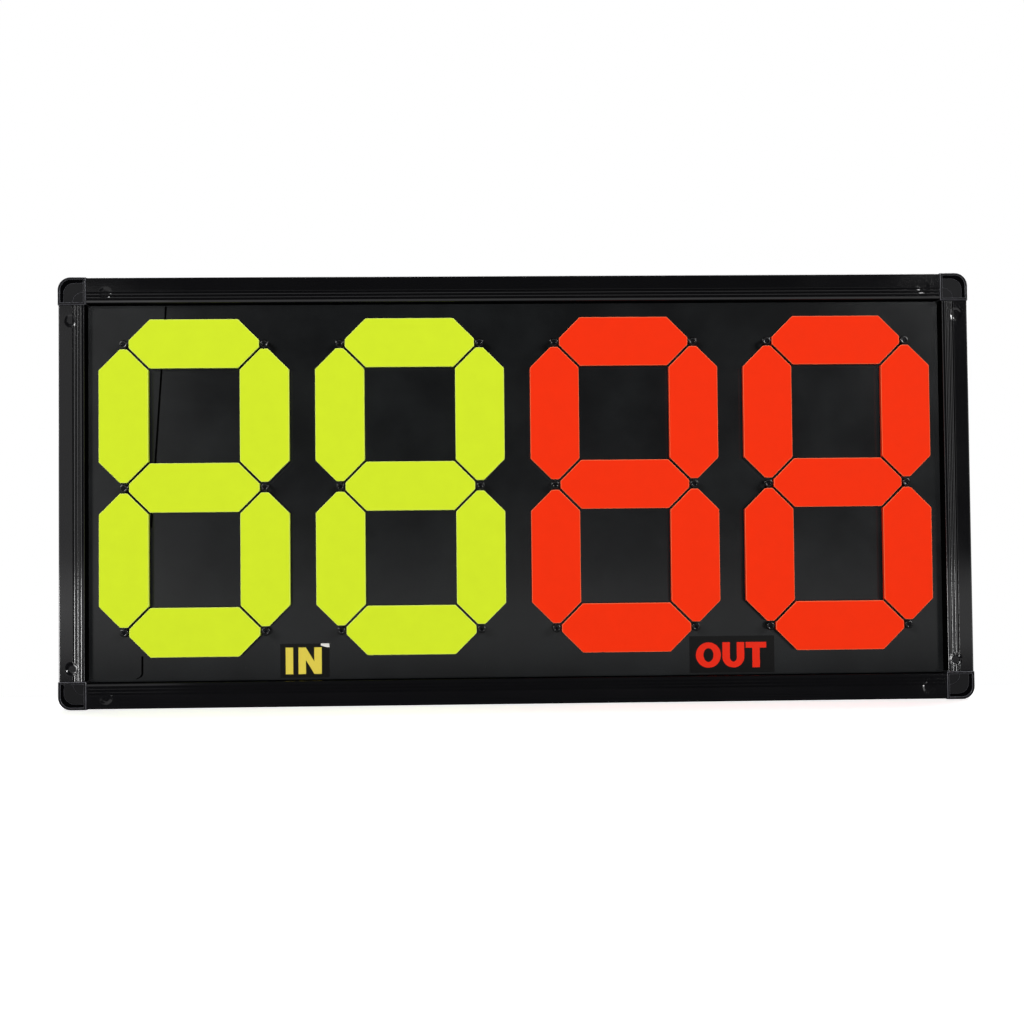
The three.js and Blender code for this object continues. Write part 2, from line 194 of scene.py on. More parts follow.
def finish_surface(tree, tones, gloss, relief, depth, more):
    """The material's surface: two tones mixed by a pattern, its gloss, its bump and its output."""
    pattern, first, second = tones
    tone = add_node(tree, "Mix", {0: pattern, 6: first, 7: second}, 2, data_type="RGBA")
    bump = add_node(tree, "Bump", {"Height": relief, "Distance": depth})
    inputs = {"Base Color": tone, "Roughness": gloss, "Normal": bump, **more}
    surface = add_node(tree, "BsdfPrincipled", inputs)
    add_node(tree, "OutputMaterial", {"Surface": surface})


def coated_aluminium(name, colour, stretch):
    """Extruded aluminium, coated in gloss black"""
    # Nearly black and mirror-like, with faint lines drawn along each rail by the die, a haze
    # where hands hold it and a few specks of dust.
    material, tree, place = new_material(name)
    drawn = add_node(tree, "Mapping", {"Vector": place, "Scale": stretch})
    lines = add_node(tree, "TexNoise", {"Vector": drawn, "Scale": 1 / (1.2 * MM), "Detail": 3.0})
    haze = add_node(tree, "TexNoise", {"Vector": place, "Scale": 1 / (60 * MM), "Detail": 4.0})
    noise = {"Vector": place, "Scale": 1 / (1.5 * MM), "Detail": 4.0, "Roughness": 0.7}
    specks = add_node(tree, "TexNoise", noise)
    dust = add_node(tree, "MapRange", (specks, 0.62, 0.8, 0.0, 0.4))
    gloss = add_node(tree, "MapRange", (haze, 0.35, 0.7, 0.07, 0.12))
    tones = (dust, shaded(colour), shaded(colour, 2.5))
    finish_surface(tree, tones, gloss, lines, 0.004 * MM, {"IOR": 1.5})
    return material


def moulded_abs(name, colour, gloss, specular=0.5):
    """ABS, injection moulded against a lightly sparked mould"""
    # Black, from matt to a soft gloss: a fine even grain, and slightly duller patches where
    # hands hold it.
    material, tree, place = new_material(name)
    grain = add_node(tree, "TexNoise", {"Vector": place, "Scale": 1 / (0.5 * MM), "Detail": 2.0})
    wear = add_node(tree, "TexNoise", {"Vector": place, "Scale": 1 / (9 * MM), "Detail": 4.0})
    sheen = add_node(tree, "MapRange", (wear, 0.3, 0.7, gloss, gloss + 0.04))
    tones = (wear, shaded(colour, 0.9), shaded(colour, 1.15))
    more = {"IOR": 1.53, "Specular IOR Level": specular}
    finish_surface(tree, tones, sheen, grain, 0.006 * MM, more)
    return material


def calendered_pvc(name, colour, dusty):
    """Foamed PVC sheet with a calendered satin skin"""
    # Charcoal and satin, with a fine leather-like grain, dust in soft clouds and faint scuffs.
    material, tree, place = new_material(name)
    grain = add_node(tree, "TexNoise", {"Vector": place, "Scale": 1 / (0.9 * MM), "Detail": 3.0})
    noise = {"Vector": place, "Scale": 1 / (70 * MM), "Detail": 4.0, "Roughness": 0.6}
    clouds = add_node(tree, "TexNoise", noise)
    rubbed = add_node(tree, "Mapping", {"Vector": place, "Scale": (1.0, 1.0, 0.25)})
    noise = {"Vector": rubbed, "Scale": 1 / (5 * MM), "Detail": 6.0, "Roughness": 0.75}
    scuffs = add_node(tree, "TexNoise", noise)
    haze = add_node(tree, "MapRange", (clouds, 0.4, 0.7, 0.0, 0.6))
    marks = add_node(tree, "MapRange", (scuffs, 0.66, 0.74, 0.0, 1.0))
    dust = add_node(tree, "Math", (haze, marks), operation="MAXIMUM")
    gloss = add_node(tree, "MapRange", (clouds, 0.3, 0.7, 0.15, 0.19))
    tones = (dust, shaded(colour), shaded(dusty))
    more = {"IOR": 1.5, "Specular IOR Level": 0.4}
    finish_surface(tree, tones, gloss, grain, 0.01 * MM, more)
    return material


def fluorescent_pvc(name, colour, gloss):
    """Fluorescent PVC with a matt skin"""
    # Brilliant and even, with the faintest mottle where the pigment is thicker.
    material, tree, place = new_material(name)
    grain = add_node(tree, "TexNoise", {"Vector": place, "Scale": 1 / (0.9 * MM), "Detail": 3.0})
    noise = {"Vector": place, "Scale": 1 / (14 * MM), "Detail": 5.0, "Roughness": 0.6}
    mottle = add_node(tree, "TexNoise", noise)
    sheen = add_node(tree, "MapRange", (mottle, 0.3, 0.7, gloss, gloss + 0.1))
    tones = (mottle, shaded(colour, 0.96), shaded(colour, 1.04))
    more = {"IOR": 1.45, "Specular IOR Level": 0.05}
    finish_surface(tree, tones, sheen, grain, 0.012 * MM, more)
    return material


def cast_vinyl(name, colour, specular=0.3):
    """Cast vinyl film with an even semi-gloss"""
    # Flat and smooth, with the slightest orange peel.
    material, tree, place = new_material(name)
    peel = add_node(tree, "TexNoise", {"Vector": place, "Scale": 1 / (1.6 * MM), "Detail": 2.0})
    tones = (peel, shaded(colour, 0.92), shaded(colour))
    more = {"IOR": 1.48, "Specular IOR Level": specular}
    finish_surface(tree, tones, 0.3, peel, 0.006 * MM, more)
    return material


def blackened_steel(name, colour):
    """Blackened steel, as on small screws"""
    # A dull dark metal, a little mottled, in the recess of each post.
    material, tree, place = new_material(name)
    mottle = add_node(tree, "TexNoise", {"Vector": place, "Scale": 1 / (0.6 * MM), "Detail": 3.0})
    tones = (mottle, shaded(colour, 0.6), shaded(colour))
    finish_surface(tree, tones, 0.35, mottle, 0.008 * MM, {"Metallic": 1.0})
    return material


# Meshes and pieces


def shade(build, angle=math.radians(32)):
    """Smooth faces, with edges sharper than the angle kept crisp."""
    for face in build.faces:
        face.smooth = True
    for edge in build.edges:
        edge.smooth = len(edge.link_faces) == 2 and edge.calc_face_angle(0) < angle


def face_outwards(build):
    """Turns every face to look out of its solid."""
    bmesh.ops.recalc_face_normals(build, faces=build.faces)


def new_object(name, build):
    """A finished mesh as an object at the origin."""
    mesh = bpy.data.meshes.new(name)
    build.to_mesh(mesh)
    build.free()
    made = bpy.data.objects.new(name, mesh)
    bpy.context.scene.collection.objects.link(made)
    return made


def add_piece(name, build, materials, replaced=(), body="board"):
    """A piece with its materials, riding on its body."""
    face_outwards(build)
    shade(build)
    piece = new_object(name, build)
    for material in materials:
        piece.data.materials.append(material)
    # Flat faces keep their own normal beside a rounded edge.
    piece.modifiers.new("weighted_normals", "WEIGHTED_NORMAL").keep_sharp = True
    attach(piece, body)
    if replaced:
        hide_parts(*replaced)
    return piece


def panel_values(context):
    """The sizes and the colours that the panel shows."""
    return context.scene.board_sizes, context.scene.board_colours


def trim_collection():
    """The rails, which the strip lamps light alone."""
    return bpy.data.collections.get("trim") or bpy.data.collections.new("trim")


def plate(build, corners, level):
    """One flat face through its corners in x and z, at a level in y."""
    return build.faces.new([build.verts.new((x, level, z)) for x, z in corners])


def rectangle(left, foot, right, head):
    return [(left, foot), (right, foot), (right, head), (left, head)]


def rounded(build, geom, radius, segments, affect):
    """Rounds corners of a flat face, or edges of a solid."""
    bmesh.ops.bevel(
        build,
        geom=list(geom),
        offset=radius,
        offset_type="OFFSET",
        segments=segments,
        profile=0.5,
        affect=affect,
        clamp_overlap=True,
        material=-1,
    )


def round_corners(build, places, radius, segments):
    """Rounds the flat face's corners that lie at the places."""
    near = [v for v in build.verts if any((v.co - Vector(p)).length < TOUCH for p in places)]
    rounded(build, near, radius, segments, "VERTICES")


def extrude(build, faces, shift):
    """Moves the faces along by the shift on new walls, and returns them at the far end."""
    faces = list(faces)
    attached = all(len(edge.link_faces) > 1 for face in faces for edge in face.edges)
    made = bmesh.ops.extrude_face_region(build, geom=faces)["geom"]
    if attached:
        bmesh.ops.delete(build, geom=faces, context="FACES_ONLY")
    verts = [item for item in made if isinstance(item, bmesh.types.BMVert)]
    bmesh.ops.translate(build, verts=verts, vec=shift)
    return [item for item in made if isinstance(item, bmesh.types.BMFace)]


def cylinder(build, radius, depth, segments, matrix):
    """A capped cylinder along its own z, placed by the matrix; returns its faces."""
    shape = {"radius1": radius, "radius2": radius, "depth": depth, "segments": segments}
    made = bmesh.ops.create_cone(build, cap_ends=True, matrix=matrix, **shape)
    return {face for vert in made["verts"] for face in vert.link_faces}


def depth_of(edge):
    """How far an edge runs from front to back."""
    return abs(edge.verts[0].co.y - edge.verts[1].co.y)


def edges_of(faces):
    return {edge for face in faces for edge in face.edges}


def cut(build, place, normal, geom=None, **options):
    """Cuts the whole build, or some of its geometry, by a plane."""
    geom = geom or [*build.verts, *build.edges, *build.faces]
    bmesh.ops.bisect_plane(
        build, geom=geom, dist=TOUCH, plane_co=place, plane_no=normal, **options
    )


def join_in(build, part):
    """Adds a finished part's mesh to the build."""
    scrap = bpy.data.meshes.new("part")
    part.to_mesh(scrap)
    part.free()
    build.from_mesh(scrap)
    bpy.data.meshes.remove(scrap)


def facing_front(build):
    """The faces that look straight forwards."""
    return [face for face in build.faces if face.normal.y < -FLAT]


# Frame rails


def rail_section(build, sizes, start):
    """The rail's section as one face: z from the outer edge inwards, y from the front back."""
    face, front, back = sizes.rail_face, RAIL_FRONT, RAIL_BACK
    half, bottom = sizes.groove_width / 2, front + sizes.groove_depth
    slot_floor = face - sizes.sheet_engage - sizes.fit
    step = sizes.groove_width + sizes.rib_width
    floors = [face - sizes.lip_width - half - n * step for n in (2, 1, 0)]
    crests = [floor + side * half for floor in floors for side in (-1, 1)]
    points = [(0.0, front)]
    for floor in floors:
        points += [(floor - half, front), (floor, bottom), (floor + half, front)]
    points.append((face, front + sizes.lip_fall))
    sheet_face = front + sizes.sheet_recess
    slots = [
        (sheet_face - sizes.fit, sheet_face + sizes.sheet_thickness + sizes.fit),
        (REAR_SHEET_FRONT - sizes.fit, REAR_SHEET_BACK + sizes.fit),
    ]
    for near, far in slots:
        points += [(face, near), (slot_floor, near), (slot_floor, far), (face, far)]
    points += [(face, back), (0.0, back)]
    build.faces.new([build.verts.new((start, y, z)) for z, y in points])
    outer = [(start, front, 0.0), (start, back, 0.0)]
    round_corners(build, outer, sizes.rail_outer_radius, 8)
    lip = [(start, front + sizes.lip_fall, face), (start, front, crests[-1])]
    round_corners(build, lip, sizes.rail_lip_radius, 6)
    round_corners(build, [(start, front, z) for z in crests[1:-1]], sizes.rib_rounding, 5)
    round_corners(build, [(start, front, crests[0])], sizes.groove_rounding, 3)
    round_corners(build, [(start, bottom, z) for z in floors], sizes.groove_rounding, 3)
    return list(build.faces)


def cut_grid(build, middle, reach):
    """Cuts the rail's front into small squares round a dent."""
    for axis in (0, 2):
        normal = Vector((axis == 0, 0, axis == 2))
        for index in range(DENT_STEPS + 1):
            place = middle + normal * (reach * (2 * index / DENT_STEPS - 1))
            faces = list(build.faces)
            if axis == 2:
                fronts = [face for face in faces if -face.normal.y > EDGE[0]]
                faces = [f for f in fronts if abs(f.calc_center_median().x - middle.x) < reach]
            verts = {vert for face in faces for vert in face.verts}
            cut(build, place, normal, [*verts, *edges_of(faces), *faces])


def press_dents(build, sizes, length, dents):
    """Presses a staking dent near each end: a six-sided floor in a round dish."""
    flats = [Vector((math.cos(turn), 0, math.sin(turn))) for turn in FACETS]
    for side, (setback, inset, depth) in zip((-1, 1), dents):
        across = side * (length / 2 - setback * MM)
        middle = Vector((across, RAIL_FRONT, inset * MM))
        cut_grid(build, middle, sizes.dent_radius)
        for vert in build.verts:
            away = vert.co - middle
            if away.y > sizes.groove_depth + TOUCH:
                continue
            away.y = 0
            to_ring = sizes.dent_radius - away.length
            if to_ring <= 0:
                continue
            to_floor = max(0, max(abs(away.dot(flat)) for flat in flats) - sizes.dent_floor)
            fall = to_ring / (to_ring + to_floor)
            pressed = depth * MM * fall * fall * (3 - 2 * fall)  # eased at both ends
            vert.co.y = max(vert.co.y, RAIL_FRONT + pressed)


class BOARD_OT_frame_rails(Operator):
    """The four ribbed aluminium rails, with the dents that stake them to the corners"""

    bl_idname = "board.frame_rails"
    bl_label = "Frame Rails"

    def execute(self, context):
        sizes, colours = panel_values(context)
        level = coated_aluminium("coated_aluminium_level", colours.frame, (0.02, 1, 1))
        upright = coated_aluminium("coated_aluminium_upright", colours.frame, (1, 1, 0.02))
        # A near-black matt finish is painted on the inner walls as shade deep in the channel.
        channel = moulded_abs("matt_channel_liner", colours.channel, 0.6, 0.0)
        wide, high = (BOARD_WIDTH, BOARD_HEIGHT, level), (BOARD_HEIGHT, BOARD_WIDTH, upright)
        sides = (("bottom", wide), ("right", high), ("top", wide), ("left", high))
        for quarter, (side, (along, across, material)) in enumerate(sides):
            length = along - 2 * (sizes.cap_size + sizes.fit)
            build = bmesh.new()
            section = rail_section(build, sizes, -length / 2)
            extrude(build, section, (length, 0, 0))
            face_outwards(build)
            press_dents(build, sizes, length, DENTS[side])
            for face in build.faces:
                # The inner walls that face the digits get the painted shade.
                inside = face.calc_center_median().z > sizes.rail_face - TOUCH
                face.material_index = CHANNEL_SHADE if inside and face.normal.z > FLAT else COATED
            turn = Matrix.Rotation(-quarter * math.pi / 2, 4, "Y")
            place = Matrix.Translation((0, 0, sizes.cap_proud - across / 2))
            lift = Matrix.Translation(MIDDLE)
            bmesh.ops.transform(build, matrix=lift @ turn @ place, verts=build.verts)
            finishes, replaced = [material, channel], [f"rail_{side}"]
            name = f"frame_rail_{side}"
            rail = add_piece(name, build, finishes, replaced)
            trim_collection().objects.link(rail)
        return {"FINISHED"}


# Corner caps


def cap_mesh(sizes):
    """One corner cap with its outer corner at the origin, towards +x and +z."""
    build = bmesh.new()
    plate(build, rectangle(0, 0, sizes.cap_size, sizes.cap_size), CAP_BACK)
    round_corners(build, [(0, CAP_BACK, 0)], sizes.cap_radius, 24)
    extrude(build, list(build.faces), (0, CAP_FRONT - CAP_BACK, 0))
    face_outwards(build)
    rims = [edge for edge in build.edges if depth_of(edge) < TOUCH]
    rounded(build, rims, sizes.cap_bevel, 4, "EDGES")
    field = facing_front(build)
    bmesh.ops.inset_region(
        build, faces=field, thickness=sizes.cap_rim - sizes.cap_bevel, use_even_offset=True
    )
    edges = edges_of(field)
    # The sunk field and its walls take a darker colour with no gloss: painted shade in the groove
    # round the steps.
    for face in extrude(build, field, (0, sizes.cap_recess, 0)):
        face.material_index = GROOVE_SHADE
    rounded(build, [e for e in edges if e.is_valid], sizes.rim_rounding, 4, "EDGES")
    floor = CAP_FRONT + sizes.cap_recess
    inner = sizes.cap_size - sizes.cap_rim + sizes.fit
    small = sizes.cap_step_small
    steps = ((sizes.cap_step_large, sizes.cap_step_corner), (small, small))
    for step, (side, corner) in enumerate(steps):
        part = bmesh.new()
        foot = floor + sizes.fit
        start = inner - side - sizes.fit
        plate(part, rectangle(start, start, inner, inner), foot)
        round_corners(part, [(start, foot, start)], corner, 20)
        rise = sizes.fit + sizes.cap_plate_height + step * sizes.cap_step_height
        top = extrude(part, list(part.faces), (0, -rise, 0))
        rounded(part, edges_of(top), sizes.step_rounding, 4, "EDGES")
        join_in(build, part)
    # The raised edges take a light grey: a painted highlight along the rims and steps.
    for face in build.faces:
        if EDGE[0] < -face.normal.y < EDGE[1]:
            face.material_index = RIM_HIGHLIGHT
    return build


class BOARD_OT_corner_caps(Operator):
    """The four moulded corners: a rounded rim round a sunk field with two rounded steps"""

    bl_idname = "board.corner_caps"
    bl_label = "Corner Caps"

    def execute(self, context):
        sizes, colours = panel_values(context)
        plastic = moulded_abs("moulded_abs", colours.corner, 0.65, 0.15)
        # The posts' darker black with no gloss, used as painted shade in the caps' grooves.
        groove = moulded_abs("grained_abs", colours.post, 0.7, 0.0)
        # A light grey painted on the raised edges as a highlight.
        rubbed = moulded_abs("rubbed_abs", colours.rubbed, 0.3)
        lower = (("bottom_left", -1, -1), ("bottom_right", 1, -1))
        corners = (*lower, ("top_right", 1, 1), ("top_left", -1, 1))
        for quarter, (corner, across, up) in enumerate(corners):
            build = cap_mesh(sizes)
            turn = Matrix.Rotation(-quarter * math.pi / 2, 4, "Y")
            outward = Vector((across * BOARD_WIDTH, 0, up * BOARD_HEIGHT))
            place = Matrix.Translation(MIDDLE + outward / 2)
            bmesh.ops.transform(build, matrix=place @ turn, verts=build.verts)
            finishes, replaced = [plastic, groove, rubbed], [f"corner_cap_{corner}"]
            add_piece(f"cap_{corner}", build, finishes, replaced)
        return {"FINISHED"}


# Digits


def slat_mesh(sizes, span):
    """A slat along x, centred on its turning axis, with a pin at each end."""
    build = bmesh.new()
    tip = span / 2 - sizes.tip_distance
    length, depth, width = 2 * tip, sizes.segment_thickness, sizes.segment_width
    bmesh.ops.create_cube(build, size=1.0, matrix=Matrix.Diagonal((length, depth, width, 1)))
    upright = [edge for edge in build.edges if depth_of(edge) > depth / 2]
    narrow = sizes.tip_distance - sizes.mitre_gap / math.sqrt(2)
    rounded(build, upright, width / 2 - narrow, 1, "EDGES")
    upright = [edge for edge in build.edges if depth_of(edge) > depth / 2]
    rounded(build, upright, sizes.slat_corner, 3, "EDGES")
    rims = [edge for edge in build.edges if depth_of(edge) < TOUCH]
    rounded(build, rims, sizes.segment_bevel, 3, "EDGES")
    joint = sizes.slat_front - depth / 2
    cut(build, (0, joint, 0), (0, 1, 0))
    for face in build.faces:
        # The rounded edges take a lighter colour, a painted highlight along each edge.
        highlighted = HIGHLIGHT_EDGE[0] < -face.normal.y < HIGHLIGHT_EDGE[1]
        # The mitred ends take the black back colour too: painted shade for the dark gap between
        # neighbours.
        mitred = abs(face.normal.y) < HIGHLIGHT_EDGE[0] and MITRED[0] < abs(face.normal.x) < MITRED[1]
        behind = mitred or face.calc_center_median().y > joint
        face.material_index = BACK_AND_MITRE_SHADE if behind else EDGE_HIGHLIGHT if highlighted else FRONT
    turn = Matrix.Rotation(math.pi / 2, 4, "Y")
    reach = sizes.pin_length + sizes.segment_bevel
    for side in (-1, 1):
        middle = tip - sizes.segment_bevel + reach / 2
        place = Matrix.Translation((side * middle, 0, 0))
        for face in cylinder(build, sizes.pin_radius, reach, 20, place @ turn):
            face.material_index = PIN
    return build


class BOARD_OT_digits(Operator):
    """The 28 turning slats: fluorescent in front and along their sides, black elsewhere"""

    bl_idname = "board.digits"
    bl_label = "Digits"

    def execute(self, context):
        sizes, colours = panel_values(context)
        # Black for the slats' backs, and painted on their mitred ends as shade in the gaps.
        back = cast_vinyl("matt_black_film", colours.slat_back)
        pin = moulded_abs("moulded_pins", colours.post, 0.25)
        finishes = {}
        for side, name, face, edge in (
            ("in", "yellow", colours.yellow, colours.yellow_edge),
            ("out", "red", colours.red, colours.red_edge),
        ):
            # The edge colour is lighter than the face: a painted highlight on the slats' rounded
            # edges.
            skin = fluorescent_pvc(f"fluorescent_{name}_pvc", face, 0.55)
            glow = fluorescent_pvc(f"fluorescent_{name}_edge", edge, 0.35)
            finishes[side] = ([skin, back, pin, glow], f"segment_{name}")
        place_of = {body: Vector(joint["pos_m"]) for body, joint in JOINTS.items()}
        across = (place_of["in_tens_upper_right"] - place_of["in_tens_upper_left"]).x
        up = (place_of["in_tens_top"] - place_of["in_tens_middle"]).z
        for body, place in place_of.items():
            stands = abs(JOINTS[body]["axis"][2]) > 0.5
            build = slat_mesh(sizes, up if stands else across)
            turn = Matrix.Rotation(-math.pi / 2 if stands else 0, 4, "Y")
            bmesh.ops.transform(build, matrix=Matrix.Translation(place) @ turn, verts=build.verts)
            materials, slot = finishes[body.split("_")[0]]
            add_piece(f"slat_{body}", build, materials, [f"{body}_segment"], body)
        return {"FINISHED"}


# Pivot posts


def post_mesh(sizes):
    """A post along y, its foot at the origin and its head forwards, with a screw in the head."""
    build = bmesh.new()
    turn = Matrix.Rotation(math.pi / 2, 4, "X")
    middle = Matrix.Translation((0, (sizes.fit / 2 - sizes.post_height) / 2, 0))
    depth = sizes.post_height + sizes.fit / 2
    cylinder(build, sizes.post_radius, depth, 40, middle @ turn)
    face_outwards(build)
    rounded(build, edges_of(facing_front(build)), sizes.post_rounding, 4, "EDGES")
    head = facing_front(build)
    flat = sizes.post_radius - sizes.post_rounding - sizes.recess_radius
    bmesh.ops.inset_region(build, faces=head, thickness=flat, use_even_offset=True)
    edges = edges_of(head)
    extrude(build, head, (0, sizes.recess_depth, 0))
    rounded(build, [e for e in edges if e.is_valid], sizes.recess_rounding, 2, "EDGES")
    screw = bmesh.new()
    across = sizes.recess_radius - sizes.screw_gap
    level = sizes.recess_depth - sizes.post_height
    middle = Matrix.Translation((0, level, 0))
    cylinder(screw, across, sizes.screw_rise * 2, 24, middle @ turn)
    face_outwards(screw)
    rounded(screw, edges_of(facing_front(screw)), sizes.screw_rise / 2, 3, "EDGES")
    for face in screw.faces:
        face.material_index = SCREW
    join_in(build, screw)
    return build


class BOARD_OT_pivot_posts(Operator):
    """The 24 posts that the slats turn on, each with a small screw sunk in its head"""

    bl_idname = "board.pivot_posts"
    bl_label = "Pivot Posts"

    def execute(self, context):
        sizes, colours = panel_values(context)
        plastic = moulded_abs("moulded_posts", colours.post, 0.16)
        screw = blackened_steel("blackened_steel", colours.screw)
        build = bmesh.new()
        sheet_face = RAIL_FRONT + sizes.sheet_recess
        for digit in ("in_tens", "in_units", "out_tens", "out_units"):
            for side in ("left", "right"):
                column = JOINTS[f"{digit}_upper_{side}"]["pos_m"][0]
                for row in ("top", "middle", "bottom"):
                    level = JOINTS[f"{digit}_{row}"]["pos_m"][2]
                    post = post_mesh(sizes)
                    shift = (column, sheet_face, level)
                    bmesh.ops.translate(post, verts=post.verts, vec=shift)
                    join_in(build, post)
        add_piece("pivot_posts", build, [plastic, screw])
        return {"FINISHED"}


# Sheets


def flat_strip(build, corners, level, thickness):
    """A thin flat piece through its corners in x and z, standing forwards from a level."""
    face = plate(build, corners, level + thickness)
    extrude(build, [face], (0, -2 * thickness, 0))


def add_seam(sizes, material):
    """The joint in the sheet's film, under the first digit, where no window opens."""
    level = RAIL_FRONT + sizes.sheet_recess
    half = sizes.seam_width / 2
    build = bmesh.new()
    for line in SEAM_LINES:
        for (x, z), (end_x, end_z) in zip(line, line[1:]):
            corners = [(x - half, z), (x + half, z), (end_x + half, end_z), (end_x - half, end_z)]
            flat_strip(build, corners, level, sizes.seam_rise)
    add_piece("film_joint", build, [material])


class BOARD_OT_sheets(Operator):
    """The charcoal front sheet with the joint in its film, and the plain rear sheet"""

    bl_idname = "board.sheets"
    bl_label = "Sheets"

    def execute(self, context):
        sizes, colours = panel_values(context)
        front = calendered_pvc("calendered_pvc_front", colours.sheet, colours.sheet_dust)
        rear = calendered_pvc("calendered_pvc_rear", colours.rear_sheet, colours.sheet_dust)
        for node, material in (("front_sheet", front), ("rear_sheet", rear)):
            for place in frame["nodes"][node].material_slots:
                place.material = material
        add_seam(sizes, cast_vinyl("film_joint", colours.seam, 0.0))
        return {"FINISHED"}


# Stickers and their words


def letter_ring(build, sizes, left, foot, half):
    """A flat oval ring, its half width and half height given."""
    turn = Matrix.Rotation(math.pi / 2, 4, "X")
    for across, up in (half, (half[0] - sizes.out_stem, half[1] - sizes.out_bar)):
        made = bmesh.ops.create_circle(build, segments=64, radius=1.0, matrix=turn)["verts"]
        bmesh.ops.scale(build, vec=(across, 1, up), verts=made)
        bmesh.ops.translate(build, vec=(left + half[0], 0, foot + half[1]), verts=made)
    bmesh.ops.bridge_loops(build, edges=list(build.edges))
    return left + 2 * half[0]


def letter_i(build, sizes, left, foot):
    right, head = left + sizes.in_stem, foot + sizes.in_letter_height
    plate(build, rectangle(left, foot, right, head), 0)
    return right


def letter_n(build, sizes, left, foot):
    """Two stems and a diagonal from the head of one to the foot of the other, as one outline."""
    right, head = left + sizes.in_letter_width, foot + sizes.in_letter_height
    stem = sizes.in_stem
    crossing = sizes.in_letter_height * stem / (sizes.in_letter_width - stem)
    outline = [(left, foot), (left, head), (left + stem, head)]
    outline += [(right - stem, foot + crossing), (right - stem, head), (right, head)]
    outline += [(right, foot), (right - stem, foot), (left + stem, head - crossing)]
    outline += [(left + stem, foot)]
    plate(build, outline, 0)
    return right


def letter_o(build, sizes, left, foot):
    half = (sizes.out_letter_width / 2, sizes.out_letter_height / 2)
    return letter_ring(build, sizes, left, foot, half)


def letter_u(build, sizes, left, foot):
    """The lower half of a ring, with its two cut ends drawn up to the head."""
    half = (sizes.out_u_width / 2, sizes.out_u_bowl)
    right, middle = letter_ring(build, sizes, left, foot, half), foot + half[1]
    cut(build, (0, 0, middle), (0, 0, 1), clear_outer=True)
    ends = [e for e in build.edges if all(abs(v.co.z - middle) < TOUCH for v in e.verts)]
    made = bmesh.ops.extrude_edge_only(build, edges=ends)["geom"]
    verts = [item for item in made if isinstance(item, bmesh.types.BMVert)]
    bmesh.ops.translate(build, verts=verts, vec=(0, 0, sizes.out_letter_height - half[1]))
    return right


def letter_t(build, sizes, left, foot):
    right, head = left + sizes.out_t_width, foot + sizes.out_letter_height
    arm = (sizes.out_t_width - sizes.out_stem) / 2
    bar = head - sizes.out_bar
    outline = [(left, head), (right, head), (right, bar), (right - arm, bar)]
    outline += [(right - arm, foot), (left + arm, foot), (left + arm, bar), (left, bar)]
    plate(build, outline, 0)
    return right


def word_mesh(sizes, letters, gap, start, foot, level):
    """The letters side by side, cut from film and laid on a level."""
    build = bmesh.new()
    left = start
    for letter in letters:
        part = bmesh.new()
        left = letter(part, sizes, left, foot) + gap
        bmesh.ops.translate(part, verts=part.verts, vec=(0, level, 0))
        extrude(part, list(part.faces), (0, -sizes.letter_film, 0))
        join_in(build, part)
    return build


class BOARD_OT_stickers(Operator):
    """The two black stickers with the words for the player coming on and the player going off"""

    bl_idname = "board.stickers"
    bl_label = "Stickers"

    def execute(self, context):
        sizes, colours = panel_values(context)
        black = cast_vinyl("black_vinyl", colours.sticker)
        words = (("in", (letter_i, letter_n)), ("out", (letter_o, letter_u, letter_t)))
        for name, letters in words:
            gap, margin, foot = (getattr(sizes, f"{name}_{s}") for s in ("gap", "margin", "foot"))
            low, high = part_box(f"label_{name}")
            build = bmesh.new()
            top = high.y - sizes.sticker_film
            face = plate(build, rectangle(low.x, low.z, high.x, high.z), high.y)
            extrude(build, [face], (0, -sizes.sticker_film, 0))
            add_piece(f"sticker_{name}", build, [black], [f"label_{name}"])
            film = cast_vinyl(f"coloured_vinyl_{name}", getattr(colours, f"letters_{name}"))
            build = word_mesh(sizes, letters, gap, low.x + margin, low.z + foot, top)
            add_piece(f"word_{name}", build, [film])
        low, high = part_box("label_in")
        build = bmesh.new()
        corners = [(high.x + x * MM, high.z + z * MM) for x, z in TORN_CORNER]
        flat_strip(build, corners, high.y - sizes.sticker_film, sizes.letter_film / 2)
        paper = cast_vinyl("bare_backing", colours.backing)
        add_piece("torn_corner", build, [paper])
        return {"FINISHED"}


# Stage


def add_lamp(name, place, aim, size, power):
    """A soft rectangular lamp that faces the aim."""
    data = bpy.data.lights.new(name, "AREA")
    data.shape = "RECTANGLE"
    data.size, data.size_y = size
    data.energy = power
    lamp = bpy.data.objects.new(name, data)
    lamp.location = place
    lamp.rotation_euler = (Vector(aim) - Vector(place)).to_track_quat("-Z", "Y").to_euler()
    bpy.context.scene.collection.objects.link(lamp)
    return lamp


def heading(yaw, pitch):
    """The direction so far to the right of straight back and so far up, in degrees."""
    yaw, pitch = math.radians(yaw), math.radians(pitch)
    level = math.cos(pitch)
    return Vector((math.sin(yaw) * level, math.cos(yaw) * level, math.sin(pitch)))


def add_camera(scene):
    """The photograph's viewpoint, a little left of the middle and below half the height."""
    data = bpy.data.cameras.new("camera")
    data.sensor_width = SENSOR_WIDTH
    data.lens = LENS
    camera = bpy.data.objects.new("camera", data)
    scene.collection.objects.link(camera)
    level = heading(CAMERA_YAW, CAMERA_PITCH).to_track_quat("-Z", "Y")
    camera.rotation_mode = "QUATERNION"
    camera.rotation_quaternion = level @ Quaternion((0, 0, 1), math.radians(CAMERA_ROLL))
    camera.location = CAMERA_PLACE
    scene.camera = camera


def seen_directly(tree):
    """Which rays reach the backdrop straight or through glass, and which by a reflection."""
    rays = ("Camera", "Transmission", "Glossy")
    *direct, by_gloss = (add_node(tree, "LightPath", output=f"Is {name} Ray") for name in rays)
    return add_node(tree, "Math", direct, operation="MAXIMUM"), by_gloss


